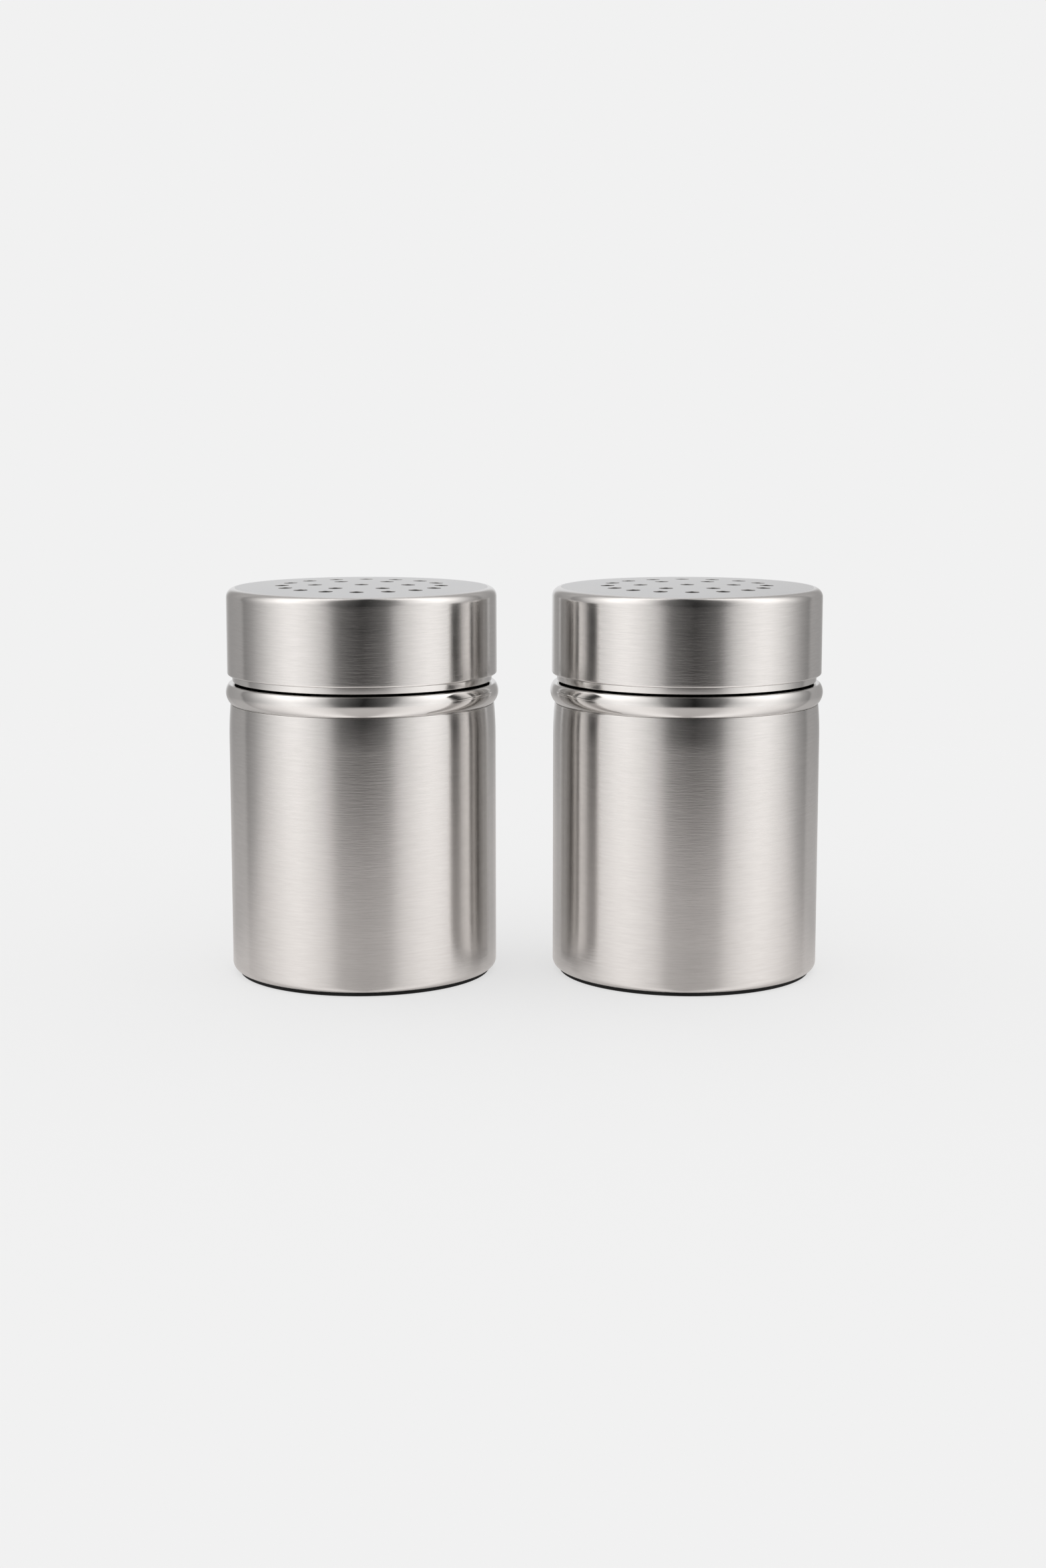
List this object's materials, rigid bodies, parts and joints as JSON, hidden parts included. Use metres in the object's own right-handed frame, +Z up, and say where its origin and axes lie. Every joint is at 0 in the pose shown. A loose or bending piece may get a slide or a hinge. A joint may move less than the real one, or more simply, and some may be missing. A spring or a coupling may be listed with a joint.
{
  "type": "spice shaker set",
  "caption": "Matching free-standing spice shakers of brushed steel: round cans with a polished bead at the neck and screw lids perforated for sprinkling.",
  "frame": {"origin": "on the table, midway between the axes of the two shakers", "axes": "+X from the left shaker to the right one, +Y away from the viewer, +Z up along the shakers' axes"},
  "size_m": [0.149, 0.068, 0.0974],
  "materials": {
    "brushed_steel": "fine brushing round the can",
    "lid_steel": "fine brushing round the skirt, satin top",
    "polished_steel": "polished",
    "black_pad": "matt",
    "seal_silicone": "matt, translucent white"
  },
  "bodies": {
    "left_shaker": {"left_base_pad": "black_pad", "left_can": "brushed_steel", "left_neck_collar": "polished_steel"},
    "left_seal": {"left_lid_seal": "seal_silicone"},
    "left_lid": {"left_lid_shell": "lid_steel", "left_lid_ring": "polished_steel"},
    "right_shaker": {"right_base_pad": "black_pad", "right_can": "brushed_steel", "right_neck_collar": "polished_steel"},
    "right_seal": {"right_lid_seal": "seal_silicone"},
    "right_lid": {"right_lid_shell": "lid_steel", "right_lid_ring": "polished_steel"}
  },
  "joints": [
    {"name": "left_lid_rise", "type": "slide", "parent": "left_shaker", "child": "left_seal", "axis": [0, 0, 1], "range_m": [0, 0.03]},
    {"name": "left_lid_turn", "type": "hinge", "parent": "left_seal", "child": "left_lid", "pos_m": [-0.0405, 0, 0.0858], "axis": [0, 0, 1], "range_deg": [0, 720]},
    {"name": "right_lid_rise", "type": "slide", "parent": "right_shaker", "child": "right_seal", "axis": [0, 0, 1], "range_m": [0, 0.03]},
    {"name": "right_lid_turn", "type": "hinge", "parent": "right_seal", "child": "right_lid", "pos_m": [0.0405, 0, 0.0858], "axis": [0, 0, 1], "range_deg": [0, 720]},
    {"name": "right_shaker_lift", "type": "slide", "parent": "left_shaker", "child": "right_shaker", "axis": [0, 0, 1], "range_m": [0, 0.12]}
  ],
  "couplings": [
    {"joint": "left_lid_rise", "follows": "left_lid_turn", "m_per_rad": 0.0023873},
    {"joint": "right_lid_rise", "follows": "right_lid_turn", "m_per_rad": 0.0023873}
  ]
}
